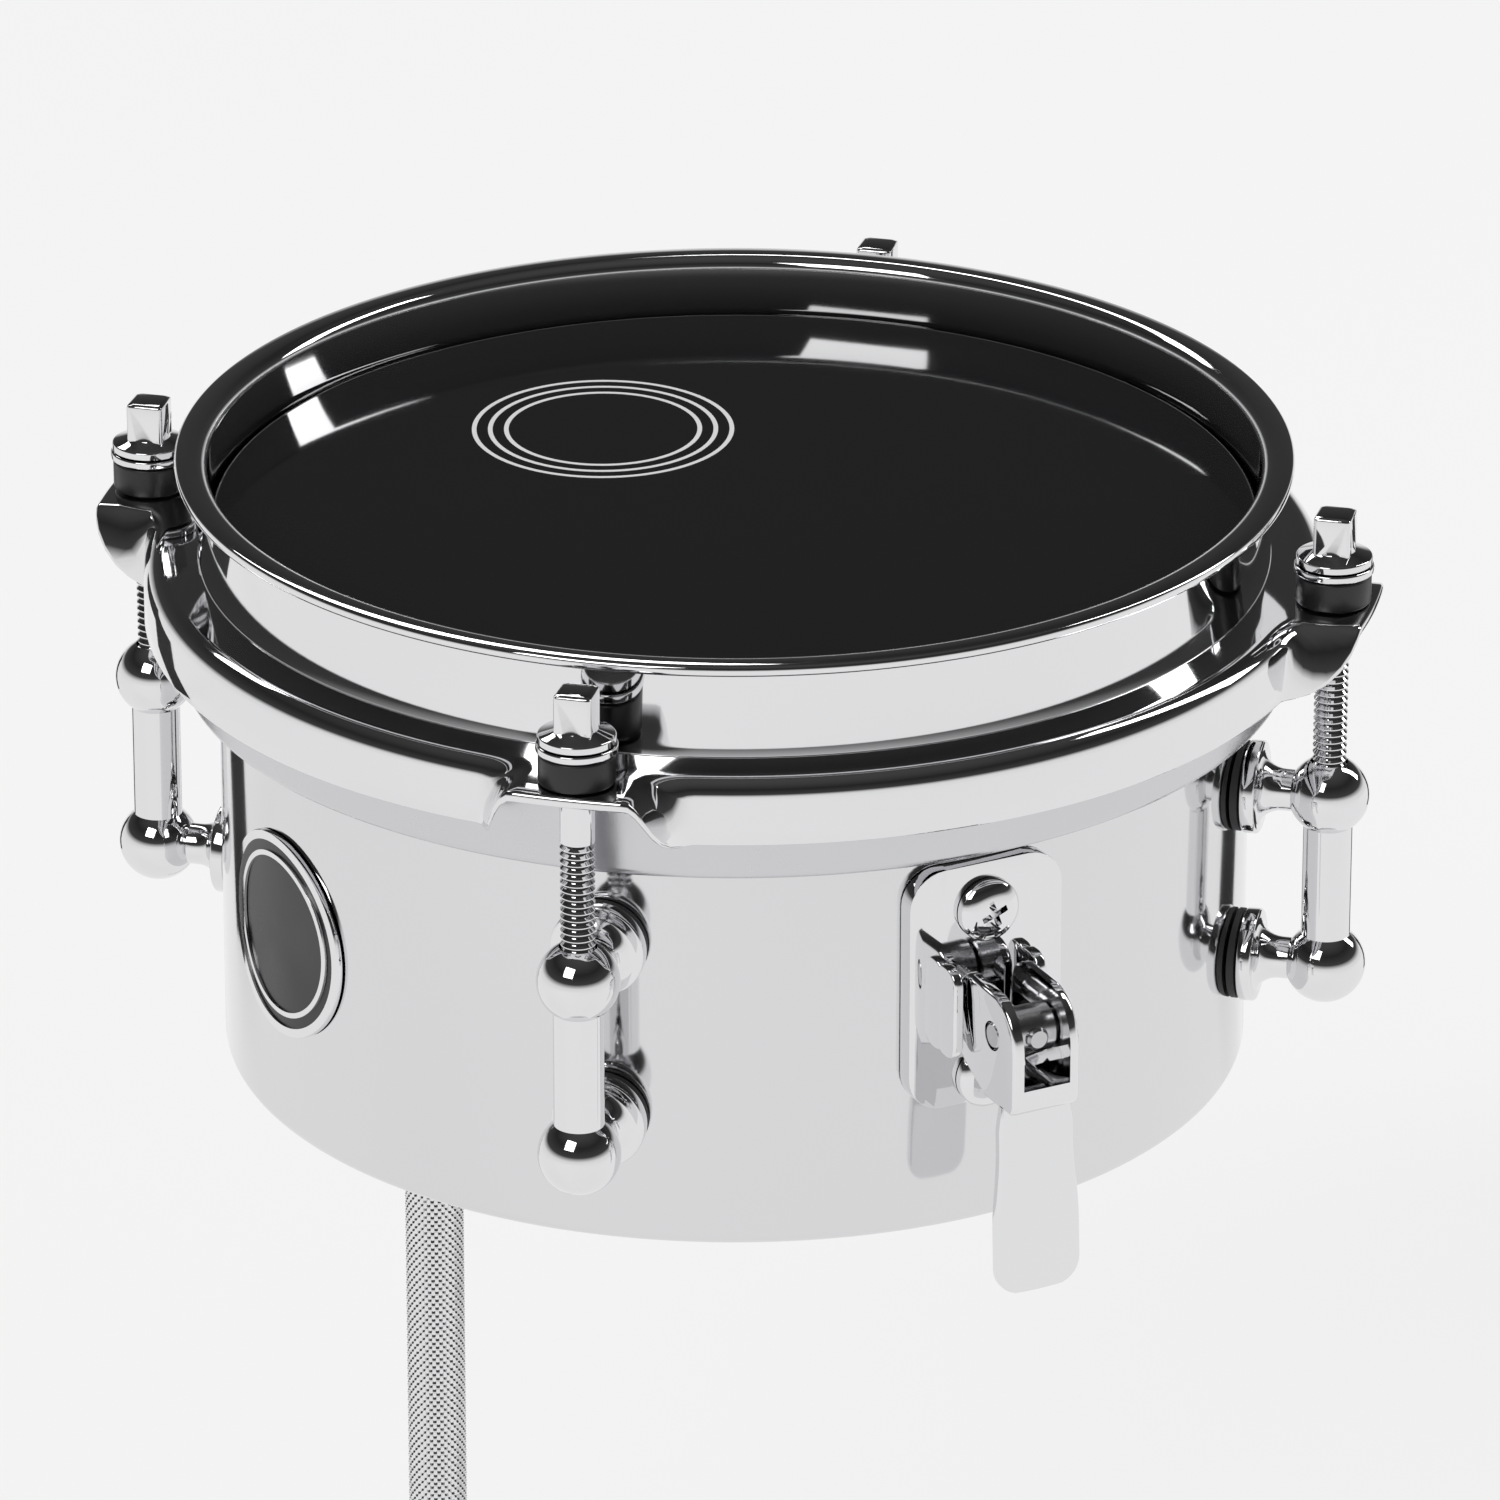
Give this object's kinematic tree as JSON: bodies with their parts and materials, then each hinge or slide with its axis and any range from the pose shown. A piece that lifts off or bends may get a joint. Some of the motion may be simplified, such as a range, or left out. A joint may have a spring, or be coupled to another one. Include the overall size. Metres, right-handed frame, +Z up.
{
  "type": "micro snare drum",
  "caption": "Micro snare drum: small chrome shell, black head, lever snare strainer, tube lugs and square-head tension rods, held on a knurled mounting rod.",
  "frame": {"origin": "centre of the mounting rod's lower end face", "axes": "+Z up along the mounting rod, -Y from the rod through the drum to the snare strainer, +X to the right seen from the strainer"},
  "size_m": [0.1736, 0.2227, 0.2868],
  "materials": {
    "chrome": "polished chrome plate",
    "black_film": "glossy black plastic film",
    "flesh_silver": "plain silver hoop",
    "black_plastic": "black nylon",
    "dark_rubber": "dark thin gasket",
    "badge_enamel": "dark enamel with bright rings",
    "steel": "plated steel",
    "knurled_steel": "chromed steel with a diamond knurl"
  },
  "bodies": {
    "rod": {"mounting_rod": "knurled_steel"},
    "drum": {"rod_bracket": "chrome", "bracket_screw_top": "chrome", "bracket_screw_bottom": "chrome", "shell": "chrome", "badge": "badge_enamel", "head_film": "black_film", "flesh_hoop": "flesh_silver", "counterhoop": "chrome", "lug_front": "chrome", "lug_right": "chrome", "lug_back": "chrome", "lug_left": "chrome", "lug_gasket_front_low": "dark_rubber", "lug_gasket_front_high": "dark_rubber", "lug_gasket_right_low": "dark_rubber", "lug_gasket_right_high": "dark_rubber", "lug_gasket_back_low": "dark_rubber", "lug_gasket_back_high": "dark_rubber", "lug_gasket_left_low": "dark_rubber", "lug_gasket_left_high": "dark_rubber", "lug_screw_front_low": "steel", "lug_screw_front_high": "steel", "lug_screw_right_low": "steel", "lug_screw_right_high": "steel", "lug_screw_back_low": "steel", "lug_screw_back_high": "steel", "lug_screw_left_low": "steel", "lug_screw_left_high": "steel", "washer_front": "chrome", "washer_right": "chrome", "washer_back": "chrome", "washer_left": "chrome", "sleeve_front": "black_plastic", "sleeve_right": "black_plastic", "sleeve_back": "black_plastic", "sleeve_left": "black_plastic", "strainer_plate": "chrome", "strainer_screw_top": "chrome", "strainer_screw_bottom": "chrome", "strainer_nut_top": "steel", "strainer_nut_bottom": "steel", "butt_bracket": "steel"},
    "wing": {"wing_screw": "chrome"},
    "draw_gear": {"draw_rod": "steel", "lever_pin": "steel", "snare_carrier": "steel", "snare_wires": "steel"},
    "lever": {"lever": "chrome"},
    "tension_rod_front": {"tension_rod_front": "chrome"},
    "tension_rod_right": {"tension_rod_right": "chrome"},
    "tension_rod_back": {"tension_rod_back": "chrome"},
    "tension_rod_left": {"tension_rod_left": "chrome"}
  },
  "joints": [
    {"name": "height_slide", "type": "slide", "parent": "rod", "child": "drum", "axis": [0, 0, 1], "range_m": [-0.1, 0.008]},
    {"name": "wing_screw_turn", "type": "hinge", "parent": "drum", "child": "wing", "pos_m": [0, 0, 0.232], "axis": [0, 1, 0], "range_deg": [0, 1080]},
    {"name": "draw_slide", "type": "slide", "parent": "drum", "child": "draw_gear", "axis": [0, 1, 0], "range_m": [0, 0.0016]},
    {"name": "lever_turn", "type": "hinge", "parent": "draw_gear", "child": "lever", "pos_m": [0, -0.1957, 0.2303], "axis": [-1, 0, 0], "range_deg": [0, 95]},
    {"name": "tension_rod_front_turn", "type": "hinge", "parent": "drum", "child": "tension_rod_front", "pos_m": [-0.05932, -0.17289, 0.2817], "axis": [0, 0, 1], "range_deg": [0, 1080]},
    {"name": "tension_rod_right_turn", "type": "hinge", "parent": "drum", "child": "tension_rod_right", "pos_m": [0.06728, -0.16492, 0.2817], "axis": [0, 0, 1], "range_deg": [0, 1080]},
    {"name": "tension_rod_back_turn", "type": "hinge", "parent": "drum", "child": "tension_rod_back", "pos_m": [0.05932, -0.03832, 0.2817], "axis": [0, 0, 1], "range_deg": [0, 1080]},
    {"name": "tension_rod_left_turn", "type": "hinge", "parent": "drum", "child": "tension_rod_left", "pos_m": [-0.06728, -0.04628, 0.2817], "axis": [0, 0, 1], "range_deg": [0, 1080]}
  ],
  "couplings": [
    {"joint": "draw_slide", "follows": "lever_turn", "m_per_rad": 0.000955}
  ]
}
